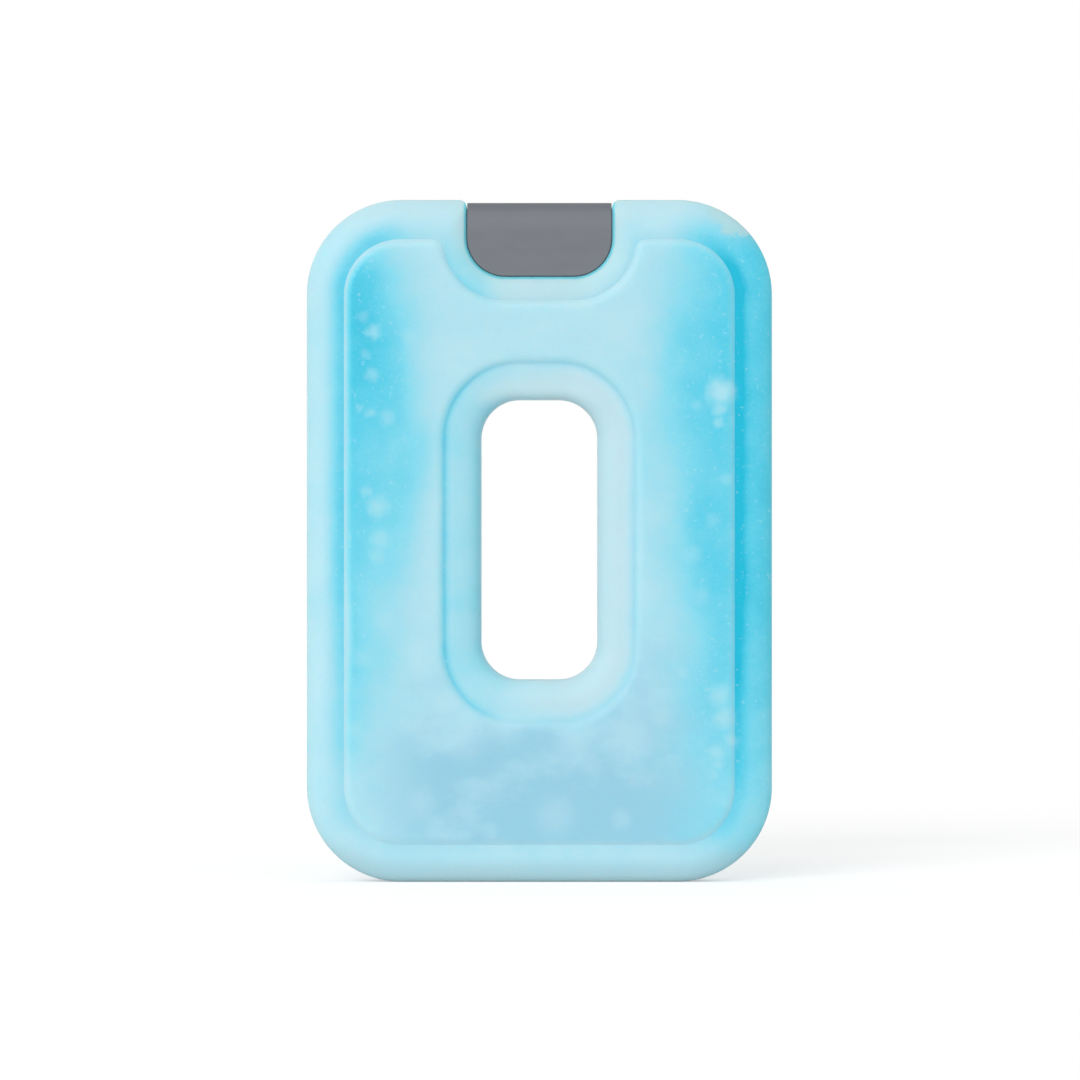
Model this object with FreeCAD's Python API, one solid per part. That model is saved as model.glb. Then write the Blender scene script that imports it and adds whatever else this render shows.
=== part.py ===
import FreeCAD, Part
import math
import os

# Slim refreezable ice pack: a blow-moulded bottle with a hand slot, the frozen gel inside it,
# and a saddle-shaped cap over the top edge. X is the width, -Y the front, Z up, in millimetres.
# The pack stands on its flat bottom edge, with the origin under its middle.

# Overall form of the bottle
width = 136.5
height = 200.0
thickness = 20.0
corner_radius = 27.8
wall = 1.6

# Rounded rim: the flat of the outer edge, how far the rounding runs in, and its tightest radius
edge_flat = 10.0
rim_reach = 9.4
rim_tight_radius = 2.8

# Raised panels on the front and the back, with the rim and bands that frame them
panel_step = 0.9
panel_margin = 10.05
panel_margin_top = 11.0
panel_corner_tightening = 1.25
panel_nose_radius = 2.8

# Hand slot through the middle
slot_width = 34.0
slot_height = 82.0
slot_radius = 11.3
slot_centre_height = 100.3
slot_edge_flat = 5.0
slot_reach = 10.2
slot_tight_radius = 5.5
slot_margin = 10.8
slot_margin_foot = 12.2

# U-shaped seat for the cap, sunk into the front, the top edge and the back
notch_width = 43.3
notch_depth = 23.0
notch_radius = 11.7
notch_reach = 6.0
notch_drop = 1.5
notch_margin = 6.6
notch_lip_radius = 1.8

# Cap that straddles the web of the seat
cap_gap = 0.5
cap_drop = 0.9
cap_wall = 1.8
cap_clearance = 0.2
cap_top_flat = 8.0
cap_roll_height = 4.0
cap_edge_bevel = 0.4

# Fill hole in the web, its collar, and the hollow plug under the cap
fill_bore_radius = 3.2
fill_collar_width = 12.0
fill_collar_height = 6.0
plug_clearance = 0.1
plug_wall = 1.2
plug_setback = 0.6

# Room between the frozen gel and the wall
gel_clearance = 0.2

# How far a cutting shape runs past what it cuts, and how far a slope's crown lies above the surface
# that it runs into
overrun = 2.0
crown_height = 0.03

# The least rounding of a hidden corner
least_radius = 0.3

across_y = FreeCAD.Vector(0, 1, 0)
base_half = thickness / 2 - panel_step
cap_half = base_half - notch_drop
web_half = cap_half - cap_wall - cap_clearance
cap_top = height - cap_drop
web_top = cap_top - cap_wall


def at(x, z, y=0.0):
    """A point, given in the plan of the pack first."""
    return FreeCAD.Vector(x, y, z)


def arc(start, end, centre):
    """The shorter circular arc from start to end about a centre."""
    radius = (start - centre).Length
    middle = centre + ((start + end) / 2 - centre).normalize() * radius
    return Part.Arc(start, middle, end).toShape()


def line(start, end):
    return Part.LineSegment(start, end).toShape()


def rounded_rectangle(half_width, bottom, top, radius):
    """Edges of a rectangle with round corners, centred on X, anticlockwise seen from the front."""
    left, right = -half_width, half_width
    return [
        line(at(left + radius, bottom), at(right - radius, bottom)),
        arc(at(right - radius, bottom), at(right, bottom + radius), at(right - radius, bottom + radius)),
        line(at(right, bottom + radius), at(right, top - radius)),
        arc(at(right, top - radius), at(right - radius, top), at(right - radius, top - radius)),
        line(at(right - radius, top), at(left + radius, top)),
        arc(at(left + radius, top), at(left, top - radius), at(left + radius, top - radius)),
        line(at(left, top - radius), at(left, bottom + radius)),
        arc(at(left, bottom + radius), at(left + radius, bottom), at(left + radius, bottom + radius)),
    ]


def notch_path(grow, top):
    """Edges of the U of the cap's seat, down the left side and up the right, wider by grow all round."""
    half = notch_width / 2 + grow
    floor = height - notch_depth - grow
    radius = notch_radius + grow
    return [
        line(at(-half, top), at(-half, floor + radius)),
        arc(at(-half, floor + radius), at(-half + radius, floor), at(-half + radius, floor + radius)),
        line(at(-half + radius, floor), at(half - radius, floor)),
        arc(at(half - radius, floor), at(half, floor + radius), at(half - radius, floor + radius)),
        line(at(half, floor + radius), at(half, top)),
    ]


def closed_face(edges):
    """The flat face inside edges that meet end to end."""
    return Part.Face(Part.Wire(Part.__sortEdges__(edges)))


def prism(edges, half):
    """A closed plan outline made solid, as far in front of the middle plane as behind it."""
    face = closed_face(edges)
    face.translate(across_y * -half)
    return face.extrude(across_y * 2 * half)


def notch_prism(grow, top):
    """The U of the cap's seat cut right through the pack."""
    half = notch_width / 2 + grow
    return prism(notch_path(grow, top) + [line(at(half, top), at(-half, top))], thickness)


def quarter_ellipse(centre, first_arm, second_arm):
    """A quarter of an ellipse, from the end of one arm to the end of the other."""
    if abs(first_arm.Length - second_arm.Length) < 1e-6:
        return arc(centre + first_arm, centre + second_arm, centre)
    if first_arm.Length > second_arm.Length:
        ellipse = Part.Ellipse(centre + first_arm, centre + second_arm, centre)
    else:
        ellipse = Part.Ellipse(centre + second_arm, centre + first_arm, centre)
    return Part.ArcOfEllipse(ellipse, 0, math.pi / 2).toShape()


def carry(profile, path):
    """A profile carried along lines and arcs: straight runs are extruded and corners revolved."""
    runs = []
    for edge in path:
        start = edge.valueAt(edge.FirstParameter)
        end = edge.valueAt(edge.LastParameter)
        along = edge.tangentAt(edge.FirstParameter)
        face = profile(start, along.cross(across_y))
        if isinstance(edge.Curve, Part.Circle):
            angle = math.degrees(edge.LastParameter - edge.FirstParameter)
            runs.append(face.revolve(edge.Curve.Center, edge.Curve.Axis, angle))
        else:
            runs.append(face.extrude(end - start))
    return runs[0].fuse(runs[1:])


def rounding_curve(foot, inward, outward, reach, rise, tight_radius):
    """From the foot of a rounded edge to its crown: a tight arc, and a slope that leaves it level.

    The slope is the tangent from the crown to the arc's circle. With no arc it is all slope.
    """
    crown = foot + inward * reach + outward * rise
    if not tight_radius:
        return [line(foot, crown)]
    centre = foot + inward * tight_radius
    run = reach - tight_radius
    distance = math.hypot(run, rise)
    along, beside = tight_radius / distance, math.sqrt(1 - (tight_radius / distance) ** 2)
    to_crown = (inward * run + outward * rise) / distance
    square_to_it = (outward * run - inward * rise) / distance
    leaving = centre + (to_crown * along + square_to_it * beside) * tight_radius
    return [arc(foot, leaving, centre), line(leaving, crown)]


def rounding(path, hand, flat_half, level, reach, tight_radius):
    """What is cut away, front and back, to round an edge from a flat of twice flat_half.

    The material lies to the left of the path for a hand of 1, and to its right for -1. The crown
    of the slope lies a little above the surface at level, so that the two cross.
    """
    rise = level + crown_height - flat_half
    clear = thickness / 2 + overrun
    cutters = []
    for side in (-across_y, across_y):

        def profile(start, left):
            inward = left * hand
            foot = start + side * flat_half
            crown = foot + inward * reach + side * rise
            above_crown = start + inward * reach + side * clear
            above_outside = start - inward * overrun + side * clear
            outside = foot - inward * overrun
            rounded = rounding_curve(foot, inward, side, reach, rise, tight_radius)
            return closed_face(rounded + [line(crown, above_crown), line(above_crown, above_outside),
                                          line(above_outside, outside), line(outside, foot)])

        cutters.append(carry(profile, path))
    return cutters


def saddle(half, bottom, top, half_length, rolls):
    """A bar along X whose section has a flat foot and a top rolled over to the front and the back."""
    across, up = rolls
    flat = half - across
    shoulder = top - up
    edges = [
        line(at(-half_length, bottom, -half), at(-half_length, bottom, half)),
        line(at(-half_length, bottom, half), at(-half_length, shoulder, half)),
        quarter_ellipse(at(-half_length, shoulder, flat), across_y * across, FreeCAD.Vector(0, 0, up)),
        line(at(-half_length, top, flat), at(-half_length, top, -flat)),
        quarter_ellipse(at(-half_length, shoulder, -flat), across_y * -across, FreeCAD.Vector(0, 0, up)),
        line(at(-half_length, shoulder, -half), at(-half_length, bottom, -half)),
    ]
    return closed_face(edges).extrude(FreeCAD.Vector(2 * half_length, 0, 0))


def cap_rolls(inset):
    """The two arms of the ellipse at the cap's top corners, for a skin that lies inset below it."""
    across = cap_half - cap_top_flat / 2 - inset
    return max(across, least_radius), max(cap_roll_height - inset, least_radius)


def plan_with_notch(inset):
    """The outline of the bottle with the cap's seat cut into its top edge."""
    half, top, radius = width / 2 - inset, height - inset, corner_radius - inset
    plate = prism(rounded_rectangle(half, inset, top, radius), base_half - inset)
    plate = plate.cut(notch_prism(inset, height + overrun))
    lip = max(notch_lip_radius - inset, least_radius)
    corner = notch_width / 2 + inset
    lips = [edge for edge in plate.Edges
            if abs(edge.CenterOfMass.z - top) < 1e-3 and abs(abs(edge.CenterOfMass.x) - corner) < 1e-3]
    return plate.makeFillet(lip, lips)


def raised_panel():
    """The panel's outline through the whole pack, cut round the hand slot and the cap's seat."""
    top = height - panel_margin_top
    half = width / 2 - panel_margin
    radius = corner_radius - panel_margin - panel_corner_tightening
    panel = prism(rounded_rectangle(half, panel_margin, top, radius), thickness / 2)
    panel = panel.cut(notch_prism(notch_margin, height + overrun))
    noses = [edge for edge in panel.Edges
             if abs(edge.CenterOfMass.z - top) < 1e-3 and abs(edge.tangentAt(edge.FirstParameter).y) > 0.99
             and abs(edge.CenterOfMass.x) < half - radius - 1e-3]
    panel = panel.makeFillet(panel_nose_radius, noses)
    slot_band = rounded_rectangle(slot_width / 2 + slot_margin,
                                  slot_centre_height - slot_height / 2 - slot_margin_foot,
                                  slot_centre_height + slot_height / 2 + slot_margin,
                                  slot_radius + slot_margin)
    return panel.cut(prism(slot_band, thickness))


def pack_form(inset):
    """The solid form of the pack, with its skin moved in by inset everywhere.

    A skin that is moved in has no raised panel, and slopes in place of its tight arcs: the blown
    wall is thicker there, under the panel and round the hand slot, where it is pinched.
    """
    outside = inset == 0
    rim_arc, slot_arc = (rim_tight_radius, slot_tight_radius) if outside else (0, 0)
    level = base_half - inset
    outline = rounded_rectangle(width / 2 - inset, inset, height - inset, corner_radius - inset)
    slot = rounded_rectangle(slot_width / 2 + inset, slot_centre_height - slot_height / 2 - inset,
                             slot_centre_height + slot_height / 2 + inset, slot_radius + inset)
    seat = notch_path(inset, height + overrun)
    form = plan_with_notch(inset)
    cutters = rounding(outline, 1, edge_flat / 2, level, rim_reach - inset, rim_arc)
    cutters += rounding(slot, -1, slot_edge_flat / 2, level, slot_reach - inset, slot_arc)
    cutters += rounding(seat, -1, level - notch_drop, level, notch_reach - inset, 0)
    for cutter in cutters:
        form = form.cut(cutter)
    if outside:
        form = form.fuse(raised_panel())
    form = form.cut(prism(slot, thickness))
    web = saddle(web_half - inset, height - notch_depth - inset - overrun, web_top - inset,
                 notch_width / 2 + inset + overrun, cap_rolls(cap_wall + cap_clearance + inset))
    return form.fuse(web).removeSplitter()


def fill_collar(grow):
    """The thick plastic that the blow pin leaves round the fill hole, filling the top of the web."""
    half = fill_collar_width / 2 + grow
    bottom = web_top - fill_collar_height - grow
    return Part.makeBox(2 * half, thickness, height - bottom, at(-half, bottom, -thickness / 2))


def make_shell():
    """The blow-moulded bottle: the form less the same form inside it, and the bored fill collar."""
    skin = pack_form(0.0)
    hollow = pack_form(wall).cut(fill_collar(0.0))
    bore = Part.makeCylinder(fill_bore_radius, height, at(0, web_top - fill_collar_height - overrun))
    return skin.cut(hollow).cut(bore)


def make_gel():
    """The frozen gel that fills the bottle, up to the collar."""
    return pack_form(wall + gel_clearance).cut(fill_collar(gel_clearance))


def make_cap():
    """The saddle: a bar with a rolled top, its tongues cut to the U of the seat, hollow from below.

    It rests on the top of the web, and its hollow plug goes down into the fill collar.
    """
    half_length = notch_width / 2 - cap_gap
    bottom = height - notch_depth + cap_gap
    block = saddle(cap_half, bottom, cap_top, half_length, cap_rolls(0.0))
    block = block.common(notch_prism(-cap_gap, height + overrun))
    face_edges = [edge for edge in block.Edges
                  if min(abs(edge.BoundBox.YMin), abs(edge.BoundBox.YMax)) > cap_half - 1e-4]
    block = block.makeChamfer(cap_edge_bevel, face_edges)
    straddle = saddle(cap_half - cap_wall, bottom - overrun, web_top, half_length + overrun,
                      cap_rolls(cap_wall))
    plug_radius = fill_bore_radius - plug_clearance
    plug_length = fill_collar_height - plug_setback
    plug = Part.makeCylinder(plug_radius, plug_length + cap_wall / 2, at(0, web_top - plug_length))
    core = Part.makeCylinder(plug_radius - plug_wall, plug_length, at(0, web_top - plug_length))
    return block.cut(straddle).fuse(plug.cut(core)).removeSplitter()


os.makedirs("parts", exist_ok=True)
make_shell().exportStep("parts/shell.step")
make_gel().exportStep("parts/gel_fill.step")
make_cap().exportStep("parts/cap.step")
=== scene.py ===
import math

import bpy
import numpy as np
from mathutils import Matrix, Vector


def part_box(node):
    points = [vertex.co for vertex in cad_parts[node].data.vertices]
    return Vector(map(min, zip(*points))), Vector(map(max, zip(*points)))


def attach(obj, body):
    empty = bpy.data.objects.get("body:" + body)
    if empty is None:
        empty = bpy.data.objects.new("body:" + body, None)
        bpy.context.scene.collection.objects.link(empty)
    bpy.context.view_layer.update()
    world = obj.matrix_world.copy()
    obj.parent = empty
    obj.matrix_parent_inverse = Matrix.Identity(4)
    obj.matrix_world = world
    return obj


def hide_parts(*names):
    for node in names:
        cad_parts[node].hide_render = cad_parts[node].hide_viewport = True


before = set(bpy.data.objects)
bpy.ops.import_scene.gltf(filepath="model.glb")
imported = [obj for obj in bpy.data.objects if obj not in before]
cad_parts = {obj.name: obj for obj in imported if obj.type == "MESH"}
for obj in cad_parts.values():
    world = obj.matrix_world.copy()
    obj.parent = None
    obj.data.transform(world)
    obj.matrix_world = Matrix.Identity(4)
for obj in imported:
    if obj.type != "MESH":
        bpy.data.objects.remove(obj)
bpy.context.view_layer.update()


# The bottle: one blow-moulded piece of translucent aqua polyethylene. The mould closes on the
# middle plane, pinches the hand slot right through, and leaves a fine parting line all round.
# Front and back carry a raised panel inside a rolled rim. All lengths are in metres.

half_width, panel_half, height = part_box("shell")[1]
corner_radius = 0.0278

# The rim: half the flat of the outer edge, half the thickness beside the panel, and the roll between
edge_half = 0.0050
rim_half = 0.0091
rim_reach = 0.0094
rim_fullness = 2.15

# The raised panel: where its foot lies, its corners and noses, and the step up to its flat
foot_inset = 0.0111
foot_inset_top = 0.0118
foot_corner_radius = 0.0165
nose_radius = 0.0034
step_run = 0.0030
step_fullness = 2.6

# The hand slot: its outline, half the flat of its edge, the roll, and the band up to the panel
slot_half_width = 0.0170
slot_low, slot_high = 0.0593, 0.1413
slot_radius = 0.0113
slot_edge_half = 0.0025
slot_reach = 0.0102
slot_fullness = 2.7
slot_margin = 0.0108
slot_margin_foot = 0.0122

# The cap's seat: its U, half the flat of its edge, the roll, the band, the lip and the inner fillet
seat_half_width = 0.02165
seat_floor = 0.1770
seat_radius = 0.0117
seat_edge_half = 0.0076
seat_reach = 0.0060
seat_fullness = 2.0
seat_margin = 0.0066
seat_lip_radius = 0.0018
seat_fillet = 0.00042
seat_fillet_depth = 0.0004

# How sharply one rolled edge takes over from the next where they meet
joining_power = 4

parting_half = 0.0005
parting_height = 0.00012

# How far the painted glow in the gap round the cap reaches out, and the share of the slot's band
# over which the blue line of painted crease shade along its foot fades out
gap_glow_reach = 0.0009
foot_shade_share = 0.20

# Samples along each run of an outline, from the middle of the top to the middle of the bottom
floor_samples, seat_samples, side_samples, lip_samples = 8, 22, 10, 10
shoulder_samples, corner_samples, flank_samples, foot_samples = 12, 36, 60, 26

# Degrees that the slot's corner has turned where the panel passes its seat, nose and shoulder, and
# where the lower corner gives way to the foot
seat_turn, nose_turn, shoulder_turn, low_corner_turn = 50, 55, 63, 150

# Rows over the rim, up and down a step, over the panel and over the slot's band
rim_rows, step_rows, panel_rows, band_rows = 26, 9, 10, 20
step_crowding = 1.3


def straight(start, end, count):
    """Evenly spaced points from start towards end, leaving the end out."""
    share = np.arange(count)[:, None] / count
    return np.array(start) * (1 - share) + np.array(end) * share


def bend(centre, radius, first, last, count):
    """Points on a circle: centre plus radius times (sine, cosine) of an angle clockwise from up."""
    angle = np.radians(first + (last - first) * np.arange(count) / count)
    return np.array(centre) + radius * np.stack([np.sin(angle), np.cos(angle)], axis=1)


def whole_loop(right_half, bottom):
    """The right half of an outline, its lowest point, and the same points mirrored to the left."""
    right = np.concatenate([*right_half, [bottom]])
    left = right[-2:0:-1] * (-1, 1)
    return np.concatenate([right, left])


def outer_loop(inset, seat_fill=0.0):
    """The outline moved in by inset: a round-cornered rectangle with the cap's U cut into its top.

    A seat_fill makes the U narrower and shallower by that much.
    """
    x, top, low = half_width - inset, height - inset, inset
    radius = corner_radius - inset
    grow = inset - seat_fill
    seat_x, seat_r, lip = seat_half_width + grow, seat_radius + grow, seat_lip_radius - grow
    seat_z = seat_floor - grow
    seat_centre = (seat_x - seat_r, seat_z + seat_r)
    corner = (x - radius, top - radius)
    return whole_loop([
        straight((0, seat_z), (seat_centre[0], seat_z), floor_samples),
        bend(seat_centre, seat_r, 180, 90, seat_samples),
        straight((seat_x, seat_centre[1]), (seat_x, top - lip), side_samples),
        bend((seat_x + lip, top - lip), lip, -90, 0, lip_samples),
        straight((seat_x + lip, top), (corner[0], top), shoulder_samples),
        bend(corner, radius, 0, 90, corner_samples),
        straight((x, corner[1]), (x, low + radius), flank_samples),
        bend((corner[0], low + radius), radius, 90, 180, corner_samples),
        straight((corner[0], low), (0, low), foot_samples),
    ], (0, low))


def foot_loop(inset):
    """The foot of the raised panel moved in by inset, with its noses beside the cap's seat.

    A nose's circle touches the top of the panel and, from outside, the circle of the seat's band.
    """
    x, top, low = half_width - foot_inset - inset, height - foot_inset_top - inset, foot_inset + inset
    radius, nose = foot_corner_radius - inset, nose_radius - inset
    band = seat_radius + seat_margin + inset
    band_centre = (seat_half_width - seat_radius, seat_floor + seat_radius)
    nose_z = top - nose
    nose_x = band_centre[0] + math.sqrt((band + nose) ** 2 - (band_centre[1] - nose_z) ** 2)
    turn = math.degrees(math.atan2(nose_x - band_centre[0], nose_z - band_centre[1]))
    corner = (x - radius, top - radius)
    band_low = band_centre[1] - band
    return whole_loop([
        straight((0, band_low), (band_centre[0], band_low), floor_samples),
        bend(band_centre, band, 180, turn, seat_samples),
        bend((nose_x, nose_z), nose, turn - 180, 0, side_samples + lip_samples),
        straight((nose_x, top), (corner[0], top), shoulder_samples),
        bend(corner, radius, 0, 90, corner_samples),
        straight((x, corner[1]), (x, low + radius), flank_samples),
        bend((corner[0], low + radius), radius, 90, 180, corner_samples),
        straight((corner[0], low), (0, low), foot_samples),
    ], (0, low))


def slot_loop(outset):
    """The hand slot's outline moved out by outset, and at its bottom a little further."""
    low_outset = outset * slot_margin_foot / slot_margin
    x, top, low = slot_half_width + outset, slot_high + outset, slot_low - low_outset
    radius = slot_radius + outset
    corner, low_corner = (x - radius, top - radius), (x - radius, low + radius)
    return whole_loop([
        straight((0, top), (corner[0], top), floor_samples),
        bend(corner, radius, 0, seat_turn, seat_samples),
        bend(corner, radius, seat_turn, nose_turn, side_samples + lip_samples),
        bend(corner, radius, nose_turn, shoulder_turn, shoulder_samples),
        bend(corner, radius, shoulder_turn, 90, corner_samples),
        straight((x, corner[1]), (x, low_corner[1]), flank_samples),
        bend(low_corner, radius, 90, low_corner_turn, corner_samples),
        bend(low_corner, radius, low_corner_turn, 180, foot_samples // 2),
        straight((low_corner[0], low), (0, low), foot_samples - foot_samples // 2),
    ], (0, low))


def depth_inside(plan, half_x, low, high, radius):
    """Distance of points to the outline of a round-cornered rectangle, more than 0 inside it."""
    across = np.abs(plan[..., 0]) - (half_x - radius)
    up = np.abs(plan[..., 1] - (low + high) / 2) - ((high - low) / 2 - radius)
    beyond = np.hypot(np.maximum(across, 0), np.maximum(up, 0))
    return radius - beyond - np.minimum(np.maximum(across, up), 0)


def roll(depth, reach, drop, fullness):
    """How far a rolled edge lies under its crown: drop * (1 - (1 - (1 - depth / reach)^p)^(1/p))."""
    remaining = np.clip(1 - depth / reach, 0, 1)
    return drop * (1 - (1 - remaining ** fullness) ** (1 / fullness))


def depth_in_seat(plan):
    """Distance of points to the U of the cap's seat, more than 0 inside it."""
    return depth_inside(plan, seat_half_width, seat_floor, seat_floor + height, seat_radius)


def half_thickness(plan):
    """Half the bottle's thickness without the panel: its three rolled edges, run into each other.

    The drops a, b and c of the three rolls join as (a^n + b^n + c^n)^(1/n).
    """
    outline = roll(depth_inside(plan, half_width, 0, height, corner_radius),
                   rim_reach, rim_half - edge_half, rim_fullness)
    slot = roll(-depth_inside(plan, slot_half_width, slot_low, slot_high, slot_radius),
                slot_reach, rim_half - slot_edge_half, slot_fullness)
    seat = roll(-depth_in_seat(plan), seat_reach, rim_half - seat_edge_half, seat_fullness)
    joined = outline ** joining_power + slot ** joining_power + seat ** joining_power
    return rim_half - joined ** (1 / joining_power)


def shares(count, power=1.0):
    """Shares from 0 up to 1 with 1 left out, closer together near 0 for a power over 1."""
    return (np.arange(count) / count) ** power


def between(first, last, share):
    """Outlines at the given shares of the way from one outline to the next."""
    return first + share[:, None, None] * (last - first)


def parting_rows(loop, shoulder, edge):
    """Rows on an edge wall: the parting line's crown, side and foot, the wall's middle and its end."""
    plan = np.stack([loop(0), loop(parting_height / 2), loop(parting_height), shoulder, shoulder])
    ones = np.ones(edge.shape)
    half = np.stack([0 * ones, parting_half / 2 * ones, parting_half * ones,
                     edge / 2, edge - seat_fillet_depth])
    return plan, half


def front_rows():
    """The front skin as rows of one closed outline each, from the outer edge to the hand slot.

    Each row lies at a share of the way between two outlines, at half_thickness plus the part of
    the panel's raise that it has climbed, 1 - (1 - share)^p on its step. The marks say how far a
    row lies across the rim and the slot's band, how far it has climbed, how near it is to the foot
    of the slot's band, where a line of painted crease shade goes, and how near each point is to
    the gap round the cap, which gets a painted glow.
    """
    outer, slot = outer_loop(parting_height), slot_loop(parting_height)
    foot, shoulder = foot_loop(0.0), foot_loop(step_run)
    slot_foot, slot_shoulder = slot_loop(slot_margin), slot_loop(slot_margin + step_run)
    over_rim = (1 - np.cos(shares(rim_rows) * np.pi)) / 2
    up_step = shares(step_rows, step_crowding)
    down_step = 1 - np.append(up_step[1:], 1.0)[::-1]
    over_panel = shares(panel_rows)
    over_band = np.sin(shares(band_rows) * np.pi / 2)
    runs = [(outer, foot, over_rim), (foot, shoulder, up_step), (shoulder, slot_shoulder, over_panel),
            (slot_shoulder, slot_foot, down_step), (slot_foot, slot, over_band)]
    plan = np.concatenate([between(*run) for run in runs])
    none = [0 * share for _, _, share in runs]
    rim = np.concatenate([over_rim, *none[1:]])
    climbed = np.concatenate([none[0], 1 - (1 - up_step) ** step_fullness, none[2] + 1,
                              1 - down_step ** step_fullness, none[4]])
    band = np.concatenate([*none[:4], over_band])
    # The foot of the slot's band is marked for a line of painted crease shade
    off_foot_shade = np.clip(1 - over_band / foot_shade_share, 0, 1)
    foot_shade_mark = np.concatenate([*none[:3], down_step ** 2, off_foot_shade])

    half = half_thickness(plan) + (panel_half - rim_half) * climbed[:, None]
    outer_wall, outer_half = parting_rows(outer_loop, outer_loop(parting_height, seat_fillet), half[0])
    slot_wall, slot_half = parting_rows(slot_loop, slot, half_thickness(slot))
    plan = np.concatenate([outer_wall, plan, slot_wall[::-1]])
    half = np.concatenate([outer_half, half, slot_half[::-1]])

    marks = {}
    for title, mark, in_slot in (("rim", rim, 0), ("slot_band", band, 1), ("panel", climbed, 0),
                                 ("slot_foot", foot_shade_mark, 0)):
        mark = np.pad(mark, len(outer_wall), constant_values=(0, in_slot))
        marks[title] = mark[:, None] * np.ones(half.shape)
    # The gap round the cap is marked for a painted glow of light through the wall
    seat_gap_glow = np.clip(1 - np.abs(depth_in_seat(plan)) / gap_glow_reach, 0, 1)
    marks["cap_gap"] = seat_gap_glow * (half < seat_edge_half + gap_glow_reach)
    return plan, half, marks


def grid_faces(rows, columns, close_rows):
    """Quads of a grid of rows of closed loops, whose last row may meet the first again."""
    row = np.arange(rows if close_rows else rows - 1)[:, None]
    column = np.arange(columns)[None, :]
    next_row, next_column = (row + 1) % rows, (column + 1) % columns
    corners = [row * columns + column, next_row * columns + column,
               next_row * columns + next_column, row * columns + next_column]
    return np.stack(corners, axis=-1).reshape(-1, 4)


def surface(name, points, faces, marks=()):
    """A smooth mesh object at the origin, with named values at its vertices."""
    mesh = bpy.data.meshes.new(name)
    mesh.from_pydata(points.reshape(-1, 3).tolist(), [], faces)
    for title, values in marks:
        mesh.attributes.new(title, "FLOAT", "POINT").data.foreach_set("value", values.ravel())
    mesh.shade_smooth()
    piece = bpy.data.objects.new(name, mesh)
    bpy.context.collection.objects.link(piece)
    return piece


plan, half, front_marks = front_rows()
columns = plan.shape[1]
front = np.stack([plan[..., 0], -half, plan[..., 1]], axis=-1)
back = (front * (1, -1, 1))[-2:0:-1]
skin = np.concatenate([front, back])
skin_marks = [(title, np.concatenate([mark, mark[-2:0:-1]])) for title, mark in front_marks.items()]
bottle = surface("bottle_skin", skin, grid_faces(len(skin), columns, True).tolist(), skin_marks)
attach(bottle, "root")
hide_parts("shell")

# How blue the plastic looks, from 0 where frosted gel lies behind it to 1 where the gel is clear.
# The same blue also paints shade, in creases and on faces turned from the key light.
blue_of_gel_and_shade = [
    (0.00, (0.585, 0.825, 0.900)),
    (0.25, (0.445, 0.780, 0.880)),
    (0.50, (0.270, 0.750, 0.885)),
    (0.75, (0.120, 0.680, 0.850)),
    (1.00, (0.000, 0.560, 0.760)),
]
least_blue = 0.15
frost_colour = (0.60, 0.85, 0.92, 1)
bare_colour = (0.50, 0.74, 0.78, 1)
# Painted light for the top of the slot's band, where it faces down
lit_band_colour = (0.74, 0.94, 0.98, 1)
# A painted glow for the gap round the cap, where light through the wall would show
gap_glow_colour = (0.09, 0.71, 0.93, 1)
haze_colour = (0.56, 0.765, 0.825, 1)
# Painted shade: the haze turns to this darker grey towards the foot
shaded_haze_colour = (0.46, 0.665, 0.725, 1)
lower_colour = (0.330, 0.640, 0.785, 1)

# The satin finish: its gloss, and how far light scatters inside the wall and the gel
satin_roughness = (0.2, 0.8, 0.40, 0.52)
satin_specular = 0.30
scatter_weight = 0.85
scatter_colour = (0.55, 1.0, 1.15)
scatter_depth = 0.005
grain_strength, grain_height = 0.25, 0.00004

# How strong each finer layer of a soft noise is beside the coarser one
fine_noise_share = 0.55


def add(tree, kind, inputs, **settings):
    """A node with its settings, and its inputs set to plain values or linked from other nodes."""
    node = tree.nodes.new("ShaderNode" + kind)
    for name, setting in settings.items():
        setattr(node, name, setting)
    for socket, value in inputs.items():
        if isinstance(value, bpy.types.NodeSocket):
            tree.links.new(value, node.inputs[socket])
        else:
            node.inputs[socket].default_value = value
    return node


def calculate(tree, operation, *numbers):
    """One sum carried along two or more numbers from left to right."""
    result = numbers[0]
    for number in numbers[1:]:
        result = add(tree, "Math", {0: result, 1: number}, operation=operation).outputs[0]
    return result


def product(tree, *numbers):
    """All the numbers multiplied together."""
    return calculate(tree, "MULTIPLY", *numbers)


def total(tree, *numbers):
    """All the numbers added up."""
    return calculate(tree, "ADD", *numbers)


def fade(tree, value, start, end, low=0.0, high=1.0):
    """An eased change from low to high as value goes from start to end."""
    inputs = {"Value": value, "From Min": start, "From Max": end, "To Min": low, "To Max": high}
    return add(tree, "MapRange", inputs, interpolation_type="SMOOTHSTEP").outputs[0]


def cloud(tree, place, scale, detail=2.0, stretch=(1, 1, 1), shift=(0, 0, 0)):
    """Soft noise from 0 to 1 at a place in millimetres, drawn out along each axis by stretch."""
    packed = [1 / longer for longer in stretch]
    drawn = add(tree, "Mapping", {"Vector": place, "Scale": packed, "Location": shift}).outputs[0]
    inputs = {"Vector": drawn, "Scale": scale, "Detail": detail, "Roughness": fine_noise_share}
    return add(tree, "TexNoise", inputs).outputs["Fac"]


def vector(tree, operation, *places, output="Vector"):
    """The result of one sum on two or three places."""
    return add(tree, "VectorMath", dict(enumerate(places)), operation=operation).outputs[output]


def ramp(tree, factor, stops):
    """Colours along a factor."""
    node = add(tree, "ValToRGB", {"Fac": factor})
    points = node.color_ramp.elements
    while len(points) < len(stops):
        points.new(0.5)
    for point, (place, colour) in zip(points, stops):
        point.position = place
        point.color = (*colour, 1)
    return node.outputs[0]


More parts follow.
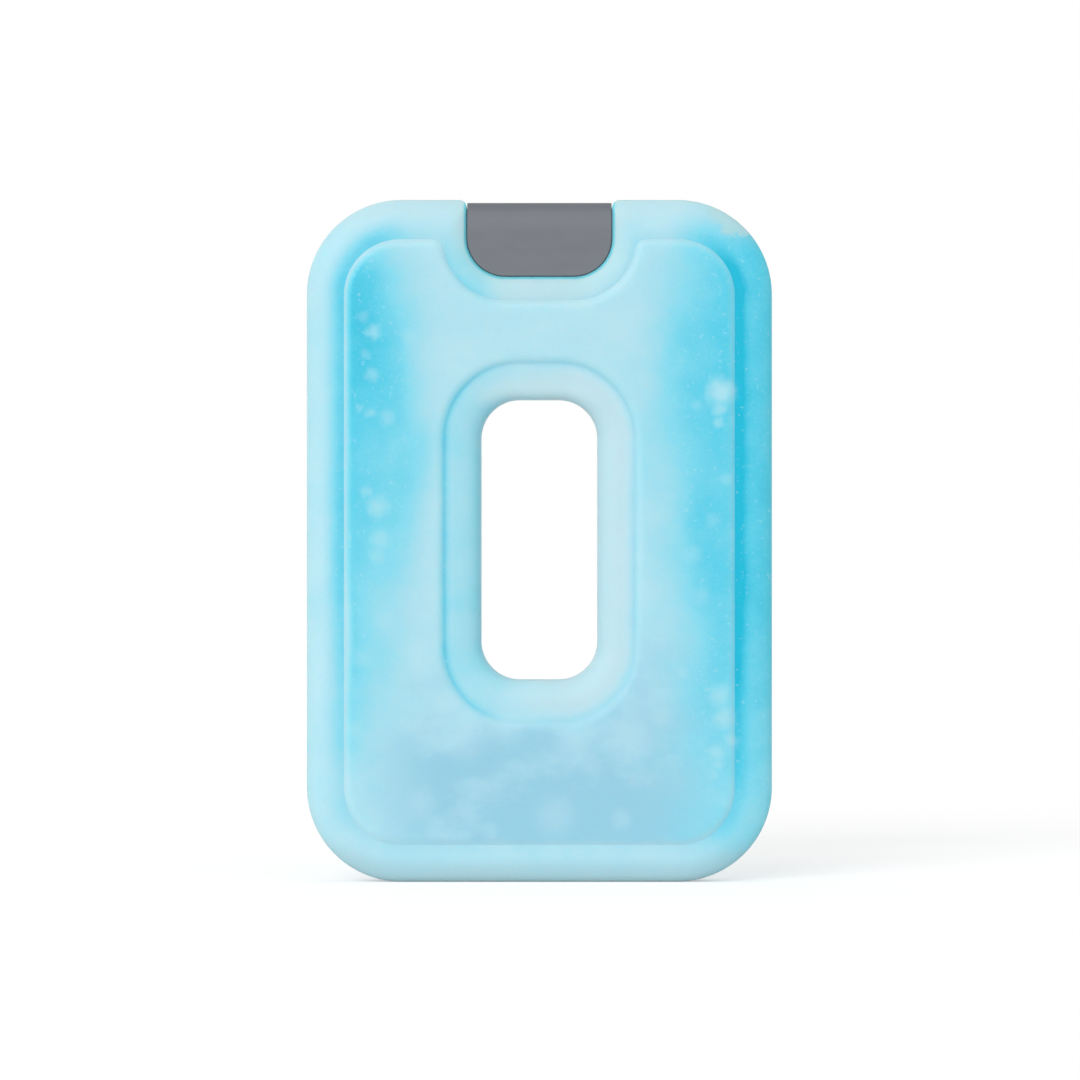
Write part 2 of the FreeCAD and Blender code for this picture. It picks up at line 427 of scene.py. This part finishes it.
def tint(tree, factor, first, second):
    """One colour turned into another by a factor."""
    node = add(tree, "Mix", {"Factor": factor, 6: first, 7: second}, data_type="RGBA")
    return node.outputs[2]


def millimetres(tree):
    """The place on the object in millimetres, and its x, y and z."""
    place = add(tree, "TexCoord", {}).outputs["Object"]
    scaled = add(tree, "Mapping", {"Vector": place, "Scale": (1000, 1000, 1000)}).outputs[0]
    parts = add(tree, "SeparateXYZ", {0: scaled})
    return scaled, *parts.outputs


def mark_on_skin(tree, title):
    """The value that the mesh carries under a title."""
    return add(tree, "Attribute", {}, attribute_name=title).outputs["Fac"]


def relief(tree, height, strength, distance):
    """A fine relief on a surface: how strong it is, and how high it stands in metres."""
    inputs = {"Height": height, "Strength": strength, "Distance": distance}
    return add(tree, "Bump", inputs).outputs[0]


def blank_material(name):
    """An empty node material."""
    material = bpy.data.materials.new(name)
    material.use_nodes = True
    material.node_tree.nodes.clear()
    return material, material.node_tree


# A fade is given as where it starts and ends, and its value at either end if not 0 and 1. Along
# x, y and z it starts and ends in millimetres, and along a mark or a noise at a share from 0 to 1.

# The clear blue gel lies in a band along either long side of the panel. Both bands stray sideways
# with slow streaks and gain in strength up the pack. Towards the foot their inner edges lean to the
# left, the right band's by less, so that the left band narrows there and the right one widens.
band_lean = (175, 70, -4, 6)
right_lean_share = 0.3
# Close to the panel's left edge the left band's blue fades out, a painted highlight on the step that
# faces the key.
left_band, left_band_edge_highlight, left_band_top = (-24, -56), (-58, -52, 0.42, 1), (192, 176, 0.2, 1)
left_band_low, left_band_high = (15, 52, 0, 0.54), (60, 165, 0, 0.18)
right_band, right_band_top = (22, 56), (196, 182, 0.3, 1)
right_band_low, right_band_high = (-10, 110, 0.30, 0.56), (120, 165, 0, 0.06)
streaks = {"scale": 0.035, "detail": 1.5, "stretch": (1, 1, 2.2), "shift": (3, 0, 7)}
streak_drift = (0.2, 0.8, -8, 8)
panel_edge_power = 1.7


def side_blue(tree, x, z):
    """How much clear blue gel lies behind the panel: left band plus right band.

    Each is its fade across, times how strong it is at that height, times its fades to the edges.
    """
    lean = fade(tree, z, *band_lean)
    left = product(tree, fade(tree, total(tree, x, lean), *left_band),
                   total(tree, fade(tree, z, *left_band_low), fade(tree, z, *left_band_high)),
                   fade(tree, x, *left_band_edge_highlight), fade(tree, z, *left_band_top))
    right_lean = product(tree, lean, right_lean_share)
    right = product(tree, fade(tree, total(tree, x, right_lean), *right_band),
                    total(tree, fade(tree, z, *right_band_low), fade(tree, z, *right_band_high)),
                    fade(tree, z, *right_band_top))
    return total(tree, left, right)


# The rim is bluest close to the panel's foot, where the blue that runs all round is painted shade
# in the crease, and on the right side more than on the left, partly the gel and partly painted
# shade on the side turned from the key. There is one more blue patch on the left of the cap's band.
left_rim, left_rim_across, left_rim_up = (-30, -54, 0, 0.45), (0.35, 0.90), (-20, 120, 0.05, 1)
right_rim, right_rim_across, right_rim_up = (36, 62), (0.50, 0.97, 0, 0.36), (0, 85, 0.45, 1)
right_rim_gel_and_shade = 0.60
rim_foot_crease_shade, rim_foot_crease_shade_up = (0.62, 1.0, 0, 0.10), (0, 60, 0.3, 1)
cap_patch_across = [(-10, -19, 0, 0.22), (-32, -26)]
cap_patch_up = [(192, 180), (156, 162)]


def rim_blue(tree, x, z, rim, panel):
    """How blue the rim is: four patches, each a product of fades, off the panel only. The foot patch
    is painted crease shade, the right one partly painted shade.
    """
    left = product(tree, fade(tree, x, *left_rim), fade(tree, rim, *left_rim_across),
                   fade(tree, z, *left_rim_up))
    right = product(tree, fade(tree, x, *right_rim),
                    total(tree, fade(tree, rim, *right_rim_across), right_rim_gel_and_shade),
                    fade(tree, z, *right_rim_up))
    # Painted shade: blue in the crease along the panel's foot, all round the rim
    foot = product(tree, fade(tree, rim, *rim_foot_crease_shade), fade(tree, z, *rim_foot_crease_shade_up))
    by_cap = product(tree, *[fade(tree, x, *ends) for ends in cap_patch_across],
                     *[fade(tree, z, *ends) for ends in cap_patch_up])
    off_panel = calculate(tree, "SUBTRACT", 1.0, panel)
    return product(tree, total(tree, left, right, foot, by_cap), off_panel)


# The slot's band is bluer on its left and at its inner lip there, painted shade where it turns
# from the key, paler on its right, painted light, and bluer in a line along its foot, painted
# shade in the crease.
slot_band_shade_across, slot_band_shade_on_band = (26, -30, -0.14, 0.17), (0, 0.30)
shaded_lip_on_band, shaded_lip_across = (0.55, 1.0, 0, 0.14), (0, -14)
foot_shade_across = (-6, -26, 0.15, 0.44)

# Two finer noises break up the blue everywhere.
mottle, mottle_depth = {"scale": 0.09, "detail": 5.0, "shift": (11, 5, 2)}, (0.2, 0.8, -0.07, 0.07)
pebble, pebble_depth = {"scale": 0.9, "detail": 2.0}, (0.2, 0.8, -0.025, 0.025)


def gel_blue_and_shade(tree, place, x, z, rim, panel, band):
    """How blue the plastic looks: bands, rim, two noises, slot's band and least blue, part painted
    shade.
    """
    wandering = total(tree, x, fade(tree, cloud(tree, place, **streaks), *streak_drift))
    on_panel = calculate(tree, "POWER", panel, panel_edge_power)
    return total(
        tree,
        product(tree, side_blue(tree, wandering, z), on_panel),
        rim_blue(tree, x, z, rim, panel),
        fade(tree, cloud(tree, place, **mottle), *mottle_depth),
        fade(tree, cloud(tree, place, **pebble), *pebble_depth),
        # Painted shade on the left of the slot's band and painted light on its right
        product(tree, fade(tree, x, *slot_band_shade_across), fade(tree, band, *slot_band_shade_on_band)),
        # Painted shade on the slot's inner lip at its left
        product(tree, fade(tree, band, *shaded_lip_on_band), fade(tree, x, *shaded_lip_across)),
        # A line of painted crease shade along the foot of the slot's band
        product(tree, mark_on_skin(tree, "slot_foot"), fade(tree, x, *foot_shade_across)),
        least_blue,
    )


# Spots of frost in the gel behind the front wall: across, up and radius in mm, and how white
frost_spots = [
    (53.0, 143.6, 4.4, 0.80), (52.6, 138.6, 2.4, 0.55), (52.3, 134.6, 1.8, 0.45),
    (45.8, 139.5, 1.8, 0.25), (-48.4, 160.8, 2.4, 0.50), (-51.6, 165.5, 2.0, 0.25),
    (-48.9, 148.5, 2.2, 0.38), (-51.0, 154.4, 1.6, 0.25), (-49.2, 137.4, 1.8, 0.38),
    (-52.7, 138.8, 1.4, 0.30), (-44.2, 135.9, 2.8, 0.34), (-38.0, 159.5, 3.0, 0.25),
    (-50.5, 114.4, 1.9, 0.36), (-47.2, 109.8, 3.4, 0.50), (-46.5, 100.5, 3.2, 0.38),
    (-47.6, 95.5, 2.6, 0.30), (-45.5, 77.0, 3.6, 0.30), (-51.5, 66.0, 3.0, 0.30),
    (-54.0, 45.0, 3.0, 0.28), (-34.5, 23.6, 4.5, 0.35), (52.6, 54.9, 3.4, 0.45),
    (53.9, 48.2, 3.4, 0.50), (56.1, 41.5, 2.4, 0.45), (52.1, 38.2, 2.8, 0.42),
    (52.3, 35.0, 2.2, 0.35), (50.8, 31.5, 1.8, 0.28), (35.4, 47.9, 3.4, 0.32),
    (41.9, 61.5, 2.0, 0.28), (44.5, 96.0, 3.2, 0.26), (50.5, 106.0, 2.4, 0.25),
    (54.5, 118.0, 2.0, 0.26), (47.0, 84.0, 3.0, 0.25), (26.8, 42.3, 7.0, 0.50),
    (9.7, 40.0, 6.0, 0.34), (4.6, 19.5, 6.5, 0.36), (23.8, 18.6, 3.4, 0.36),
    (-14.5, 15.3, 3.0, 0.30), (-22.0, 41.5, 7.0, 0.30), (-10.0, 45.5, 6.0, 0.32),
]
spot_outer_share, spot_inner_share, spot_strength = 1.4, 0.1, 0.9
spots_in_front = (2, -4)
wobble_scale, wobble_detail, wobble_width = 0.40, 4.0, 3.0


def frost(tree, place, y):
    """How white the frost spots are: the whitest of them at a place, each a fade from its middle out.

    A noise moves the place by up to half the wobble's width first, so that the spots are ragged.
    """
    wobble = add(tree, "TexNoise", {"Vector": place, "Scale": wobble_scale, "Detail": wobble_detail})
    centred = vector(tree, "SUBTRACT", wobble.outputs["Color"], (0.5, 0.5, 0.5))
    moved = vector(tree, "MULTIPLY_ADD", centred, (wobble_width, 0, wobble_width), place)
    flat = vector(tree, "MULTIPLY", moved, (1, 0, 1))
    whitest = 0.0
    for x, z, radius, white in frost_spots:
        away = vector(tree, "DISTANCE", flat, (x, 0, z), output="Value")
        reach = radius * spot_outer_share, radius * spot_inner_share
        spot = fade(tree, away, *reach, 0, white * spot_strength)
        whitest = calculate(tree, "MAXIMUM", spot, whitest)
    return product(tree, whitest, fade(tree, y, *spots_in_front))


# The plastic is painted greyer round the slot away from its left side, on the top and bottom rims,
# and on the band under the cap. On the bottom rim, which faces the floor, this grey is painted shade.
haze_on_band, haze_right, haze_over_slot = (0.05, 0.45), (-24, 8, 0, 0.75), (150, 142, 0.55, 1)
haze_top, haze_and_shade_bottom, haze_on_rim = (184, 196), (16, 5), (0.75, 0.20, 0, 0.65)
haze_by_cap, haze_under_cap = (24, 6, 0, 0.6), (150, 170)
haze_off_band = (0.02, 0.0)


def haze_and_shade(tree, x, z, rim, band, panel):
    """How grey the plastic looks: the most of the slot's, the rims' and the cap band's haze, with
    painted shade on the bottom rim.
    """
    by_slot = product(tree, fade(tree, band, *haze_on_band), fade(tree, x, *haze_right),
                      fade(tree, z, *haze_over_slot))
    ends = calculate(tree, "MAXIMUM", fade(tree, z, *haze_top), fade(tree, z, *haze_and_shade_bottom))
    on_rim = product(tree, fade(tree, rim, *haze_on_rim), ends)
    from_middle = add(tree, "Math", {0: x}, operation="ABSOLUTE").outputs[0]
    by_cap = product(tree, fade(tree, from_middle, *haze_by_cap), fade(tree, z, *haze_under_cap))
    outside = product(tree, calculate(tree, "MAXIMUM", on_rim, by_cap),
                      calculate(tree, "SUBTRACT", 1.0, panel), fade(tree, band, *haze_off_band))
    return calculate(tree, "MAXIMUM", by_slot, outside)


# In one upper corner the gel has drawn away from the wall.
bare_middle = (59, -8, 199)
bare_reach, bare_in_front = (10.8, 8.4, 0, 0.80), (4, -2)
ragged, raggedness = {"scale": 0.30, "detail": 4.0}, (0.3, 0.7, -1.5, 1.5)


def bare_corner(tree, place, y):
    """Where the wall is bare inside: a fade of the distance to a middle, made ragged by noise."""
    away = vector(tree, "DISTANCE", place, bare_middle, output="Value")
    away = total(tree, away, fade(tree, cloud(tree, place, **ragged), *raggedness))
    return product(tree, fade(tree, away, *bare_reach), fade(tree, y, *bare_in_front))


# Below the slot the gel is milky blue with wisps of frost, and its upper edge billows.
billow = {"scale": 0.055, "detail": 5.0, "stretch": (1.6, 1, 1), "shift": (0, 4, 9)}
billow_height, milk_up, wisp_depth = (0.3, 0.7, -16, 16), (76, 30, 0, 0.85), (0.50, 0.72, 0, 0.55)
milk_across = [(60, 24), (-58, -26)]

# Fine specks of frost show where the gel is clear. The haze is darker towards the foot, a painted
# shade where the rim faces the floor, and above the slot the band is painted lighter, a painted
# light where it faces down.
specks, speck_depth = {"scale": 0.75, "detail": 1.0, "shift": (0, 9, 0)}, (0.63, 0.76, 0, 0.28)
specks_in_blue = (0.3, 0.6)
haze_shade_up = (24, 6)
lit_on_band, lit_band_up = (0.25, 0.85, 0, 0.55), (138, 145)
gap_glow_depth = (0.0, 1.0, 0, 0.85)
grain_of_mould = {"scale": 2.2, "detail": 3.0}


def bottle_colour(tree, place, x, y, z):
    """The wall's colour: the blue of the gel and painted shade, then milk, wisps, haze, painted
    light over the slot, frost and a painted glow in the gap.
    """
    rim, band, panel = (mark_on_skin(tree, title) for title in ("rim", "slot_band", "panel"))
    blue = gel_blue_and_shade(tree, place, x, z, rim, panel, band)
    colour = ramp(tree, blue, blue_of_gel_and_shade)

    billows = cloud(tree, place, **billow)
    sinking = total(tree, z, fade(tree, billows, *billow_height))
    low = product(tree, fade(tree, sinking, *milk_up), panel)
    middle = product(tree, *[fade(tree, x, *ends) for ends in milk_across])
    colour = tint(tree, product(tree, low, middle), colour, lower_colour)
    colour = tint(tree, product(tree, fade(tree, billows, *wisp_depth), low), colour, frost_colour)

    # Painted shade: the haze grows darker towards the foot
    grey = tint(tree, fade(tree, z, *haze_shade_up), haze_colour, shaded_haze_colour)
    colour = tint(tree, haze_and_shade(tree, x, z, rim, band, panel), colour, grey)
    # Painted light over the slot, on the band where it faces down
    lit_over_slot = product(tree, fade(tree, band, *lit_on_band), fade(tree, z, *lit_band_up))
    colour = tint(tree, lit_over_slot, colour, lit_band_colour)

    speckled = product(tree, fade(tree, cloud(tree, place, **specks), *speck_depth),
                       fade(tree, blue, *specks_in_blue))
    white = calculate(tree, "MAXIMUM", frost(tree, place, y), speckled)
    colour = tint(tree, white, colour, frost_colour)
    colour = tint(tree, bare_corner(tree, place, y), colour, bare_colour)
    # A painted glow in the gap round the cap
    return tint(tree, fade(tree, mark_on_skin(tree, "cap_gap"), *gap_glow_depth), colour, gap_glow_colour)


def bottle_plastic():
    """Satin translucent polyethylene: light scatters inside it, and the mould leaves a fine grain."""
    material, tree = blank_material("aqua_polyethylene")
    place, x, y, z = millimetres(tree)
    grain = cloud(tree, place, **grain_of_mould)
    shader = add(tree, "BsdfPrincipled", {
        "Base Color": bottle_colour(tree, place, x, y, z),
        "Roughness": fade(tree, grain, *satin_roughness),
        "Specular IOR Level": satin_specular,
        "Subsurface Weight": scatter_weight,
        "Subsurface Radius": scatter_colour,
        "Subsurface Scale": scatter_depth,
        "Normal": relief(tree, grain, grain_strength, grain_height),
    }, subsurface_method="RANDOM_WALK")
    add(tree, "OutputMaterial", {"Surface": shader.outputs[0]})
    return material


aqua = bottle_plastic()
bottle.data.materials.append(aqua)


# The web under the cap: the same moulding, thinned to a tongue that fills the seat and carries
# the cap. It is all but hidden, and shows only in the gap round the cap.

web_half = 0.0056
web_top = 0.1973
web_roll = 0.0020
web_sink = 0.0010
web_round_samples, web_stations = 10, 25


def web_section(count):
    """Half the web's section, from its foot up the front to the top: a wall and a quarter circle."""
    angle = np.linspace(0, np.pi / 2, count)
    y = -(web_half - web_roll) - web_roll * np.cos(angle)
    z = web_top - web_roll + web_roll * np.sin(angle)
    return np.stack([np.append(-web_half, y), np.append(seat_floor - web_sink, z)], axis=1)


def seat_half_at(z, grow):
    """Half the width of the cap's U at a height, wider by grow: its round foot, then its sides."""
    radius = seat_radius + grow
    below = np.clip(seat_floor + seat_radius - z, 0, radius)
    return seat_half_width - seat_radius + np.sqrt(radius ** 2 - below ** 2)


section = web_section(web_round_samples)
section = np.concatenate([section, section[::-1] * (-1, 1)])
across = np.linspace(-1, 1, web_stations)[:, None]
web_x = across * seat_half_at(section[:, 1], web_sink)
web_points = np.stack([web_x, section[:, 0] + 0 * web_x, section[:, 1] + 0 * web_x], axis=-1)
web_faces = grid_faces(web_stations, len(section), False).tolist()
left_end = np.arange(len(section))
right_end = (left_end + (web_stations - 1) * len(section))[::-1]
web = surface("web_under_cap", web_points, web_faces + [left_end.tolist(), right_end.tolist()])
web.data.materials.append(aqua)
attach(web, "root")


# The cap: a saddle of grey injection-moulded plastic, 1.8 mm thick, that drops over the web and
# closes the fill hole. Its tongue in front and behind ends in the U of the seat.

cap_low, cap_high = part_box("cap")
cap_half_width, cap_half, cap_top = cap_high
cap_gap = seat_half_width - cap_half_width
cap_wall = 0.0018
cap_top_half = 0.0040
cap_roll_height = 0.0040
cap_edge_radius = 0.00015

# Rows along half the section, closer together near the tongue's end, and columns across the cap
tongue_end_rows, tongue_rows, shoulder_rows, top_rows = 14, 8, 16, 5
tongue_crowding = 1.6
cap_columns = 61


def cap_profile(inset, tongue, turn, flat):
    """Half the saddle's section, from the tongue's end to the middle of the top, moved in by inset.

    The tongue is a straight wall, the shoulder a quarter ellipse and the top is flat. Gives y and z
    at each sample.
    """
    half, top = cap_half - inset, cap_top - inset
    across, up = cap_half - cap_top_half - inset, cap_roll_height - inset
    wall_z = cap_low.z + (top - up - cap_low.z) * tongue
    y = np.concatenate([0 * tongue - half, -cap_top_half - across * np.cos(turn),
                        -cap_top_half * (1 - flat)])
    z = np.concatenate([wall_z, top - up + up * np.sin(turn), 0 * flat + top])
    return np.stack([y, z], axis=1)


tongue = np.append(shares(tongue_end_rows, tongue_crowding) / 2, 0.5 + shares(tongue_rows) / 2)
turn = shares(shoulder_rows) * np.pi / 2
flat = np.linspace(0, 1, top_rows)
outer_half = cap_profile(0.0, tongue, turn, flat)
inner_half = cap_profile(cap_wall, tongue, turn, flat)
outer = np.concatenate([outer_half, outer_half[-2::-1] * (-1, 1)])
inner = np.concatenate([inner_half, inner_half[-2::-1] * (-1, 1)])


def cap_half_at(z):
    """Half the cap's width at a height: the round foot of its tongue, then its straight sides."""
    return seat_half_at(z, -cap_gap)


def edge_depth(x, z):
    """Distance of points of the tongue to its outline, more than 0 inside it."""
    return depth_inside(np.stack([x, z], axis=-1), cap_half_width, cap_low.z, cap_low.z + height,
                        seat_radius - cap_gap)


# The outer skin is drawn towards the inner one by r * (1 - sqrt(1 - (1 - depth / r)^2)) near its
# outline, which rounds the edge with radius r.
side = np.sin(np.linspace(-1, 1, cap_columns) * np.pi / 2)[None, :]
outer_z, inner_z = outer[:, 1:], inner[:, 1:]
outer_x = side * cap_half_at(outer_z)
remaining = np.clip(1 - edge_depth(outer_x, outer_z + 0 * outer_x) / cap_edge_radius, 0, 1)
sunk = cap_edge_radius * (1 - np.sqrt(1 - remaining ** 2)) / cap_wall
outer_y = outer[:, :1] * (1 - sunk) + inner[:, :1] * sunk
outer_up = outer_z * (1 - sunk) + inner_z * sunk
inner_x = side[:, ::-1] * cap_half_at(outer_z)
cap_points = np.concatenate([
    np.stack([outer_x, outer_y, outer_up], axis=-1),
    np.stack([inner_x, inner[:, :1] + 0 * inner_x, inner_z + 0 * inner_x], axis=-1),
], axis=1)

# Each row of points is a loop over the outer skin and back along the inner one, and the first and
# last rows are closed with quads from one skin to the other.
count = cap_points.shape[1]
last = (len(cap_points) - 1) * count
sides = np.arange(cap_columns - 1)
end_quads = np.stack([sides, sides + 1, count - 2 - sides, count - 1 - sides], axis=1)
last_quads = (end_quads + last)[:, ::-1]
cap_faces = np.concatenate([grid_faces(len(cap_points), count, False), end_quads, last_quads])
cap = surface("cap_saddle", cap_points, cap_faces[:, ::-1].tolist())
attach(cap, "root")
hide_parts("cap")

cap_colours = [(0.0, (0.155, 0.168, 0.190)), (1.0, (0.215, 0.226, 0.250))]
cap_grain, cap_grain_shade = {"scale": 5.0, "detail": 4.0}, (0.3, 0.7, -0.10, 0.10)
cap_patches = {"scale": 0.25, "detail": 2.0, "stretch": (3, 1, 1)}
cap_patch_shade, cap_patch_roughness = (0.3, 0.7, -0.10, 0.10), (0.2, 0.8, 0.50, 0.60)
# Painted reflection on the cap: dark over the rolled top, lightest in a band just below it, then a
# little darker down the tongue
cap_roll_painted_shade, cap_highlight_low_edge = (198.3, 194, 0.05, 0.70), (193.5, 190, 0, 0.25)
cap_specular = 0.30
cap_grain_strength, cap_grain_height = 0.35, 0.00004


def cap_plastic():
    """Fine matte grey with the grain of a spark-eroded mould, and a painted reflection: darkest on the
    rolled top, lightest in a band just below it.
    """
    material, tree = blank_material("grey_polypropylene")
    place, _, _, z = millimetres(tree)
    grain = cloud(tree, place, **cap_grain)
    patches = cloud(tree, place, **cap_patches)
    shade = total(tree, fade(tree, grain, *cap_grain_shade), fade(tree, patches, *cap_patch_shade),
                  fade(tree, z, *cap_roll_painted_shade))
    shade = calculate(tree, "SUBTRACT", shade, fade(tree, z, *cap_highlight_low_edge))
    shader = add(tree, "BsdfPrincipled", {
        "Base Color": ramp(tree, shade, cap_colours),
        "Roughness": fade(tree, patches, *cap_patch_roughness),
        "Specular IOR Level": cap_specular,
        "Normal": relief(tree, grain, cap_grain_strength, cap_grain_height),
    })
    add(tree, "OutputMaterial", {"Surface": shader.outputs[0]})
    return material


cap.data.materials.append(cap_plastic())


# The gel: the frozen refrigerant that fills the bottle, clear blue ice with clouds and veins of
# frost. The satin wall hides it, and its look from outside is in the bottle's own colours.

gel_colours = [(0.0, (0.02, 0.62, 0.85)), (1.0, (0.55, 0.86, 0.93))]
gel_clouds, gel_cloud_white = {"scale": 0.06, "detail": 4.0, "stretch": (1, 1, 2)}, (0.3, 0.7, 0, 0.7)
gel_veins, gel_vein_white = {"scale": 0.5, "detail": 6.0}, (0.4, 0.8, 0, 0.3)
gel_roughness = (0.3, 0.7, 0.25, 0.45)
gel_scatter_weight, gel_scatter_colour, gel_scatter_depth = 0.5, (0.5, 1.0, 1.2), 0.004
gel_vein_strength, gel_vein_height = 0.3, 0.0002


def frozen_gel():
    """Clear blue ice with veins and clouds of frost."""
    material, tree = blank_material("frozen_gel")
    place = millimetres(tree)[0]
    veins = cloud(tree, place, **gel_veins)
    shade = total(tree, fade(tree, cloud(tree, place, **gel_clouds), *gel_cloud_white),
                  fade(tree, veins, *gel_vein_white))
    shader = add(tree, "BsdfPrincipled", {
        "Base Color": ramp(tree, shade, gel_colours),
        "Roughness": fade(tree, veins, *gel_roughness),
        "Subsurface Weight": gel_scatter_weight,
        "Subsurface Radius": gel_scatter_colour,
        "Subsurface Scale": gel_scatter_depth,
        "Normal": relief(tree, veins, gel_vein_strength, gel_vein_height),
    })
    add(tree, "OutputMaterial", {"Surface": shader.outputs[0]})
    return material


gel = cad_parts["gel_fill"]
gel.data.materials.clear()
gel.data.materials.append(frozen_gel())


# The floor and the white studio round it. The floor is pale board that takes the pack's shadow.
# For the camera, for gloss and through clear plastic it glows a little, so that it runs into the
# white backdrop without an edge.

floor_half = 6.0
floor_glow = 0.43
floor_white = 0.80
studio_light = 0.57


def seen_directly(tree):
    """1 for rays from the camera, off gloss or through clear plastic, and 0 for light on the object."""
    path = add(tree, "LightPath", {}).outputs
    return calculate(tree, "MAXIMUM", path["Is Camera Ray"], path["Is Glossy Ray"],
                     path["Is Transmission Ray"])


floor_mesh = bpy.data.meshes.new("floor")
floor_corners = np.array([[-1, -1, 0], [1, -1, 0], [1, 1, 0], [-1, 1, 0]]) * floor_half
floor_mesh.from_pydata(floor_corners.tolist(), [], [[0, 1, 2, 3]])
floor = bpy.data.objects.new("floor", floor_mesh)
bpy.context.collection.objects.link(floor)
board, tree = blank_material("pale_board")
paint = add(tree, "BsdfDiffuse", {"Color": (floor_white, floor_white, floor_white, 1)})
glow = add(tree, "Emission", {"Strength": product(tree, seen_directly(tree), floor_glow)})
both = add(tree, "AddShader", {0: paint.outputs[0], 1: glow.outputs[0]})
add(tree, "OutputMaterial", {"Surface": both.outputs[0]})
floor_mesh.materials.append(board)

world = bpy.data.worlds.new("studio")
bpy.context.scene.world = world
world.use_nodes = True
tree = world.node_tree
tree.nodes.clear()
level = add(tree, "MapRange", {"Value": seen_directly(tree), "To Min": studio_light})
background = add(tree, "Background", {"Color": (1, 1, 1, 1), "Strength": level.outputs[0]})
add(tree, "OutputWorld", {"Surface": background.outputs[0]})


# The key light: a broad soft light high in front and to the left, that throws a faint shadow
# behind the pack and to its right.

key_strength = 1.45
key_spread = math.radians(38)
key_from = Vector((-0.42, -1.0, 0.42))

key = bpy.data.lights.new("key", "SUN")
key.energy = key_strength
key.angle = key_spread
key_object = bpy.data.objects.new("key", key)
key_object.rotation_mode = "QUATERNION"
key_object.rotation_quaternion = key_from.to_track_quat("Z", "Y")
bpy.context.collection.objects.link(key_object)


# The camera: level, straight in front, far enough away for the flat look of a long lens. One pixel
# of the photo is as wide as given here at the pack's middle plane.

photo_pixels = 1080
pixel = 0.0002941
photo_centre_x, photo_base_y = 539.4, 880.8
camera_distance = 1.60
sensor_width = 36.0
far_end = 50

camera = bpy.data.cameras.new("camera")
camera.sensor_width = sensor_width
camera.lens = sensor_width * camera_distance / (photo_pixels * pixel)
camera.clip_end = far_end
camera_object = bpy.data.objects.new("camera", camera)
camera_object.location = ((photo_pixels / 2 - photo_centre_x) * pixel, -camera_distance,
                          (photo_base_y - photo_pixels / 2) * pixel)
camera_object.rotation_euler = (math.pi / 2, 0, 0)
bpy.context.collection.objects.link(camera_object)
bpy.context.scene.camera = camera_object
bpy.context.scene.view_settings.view_transform = "Standard"
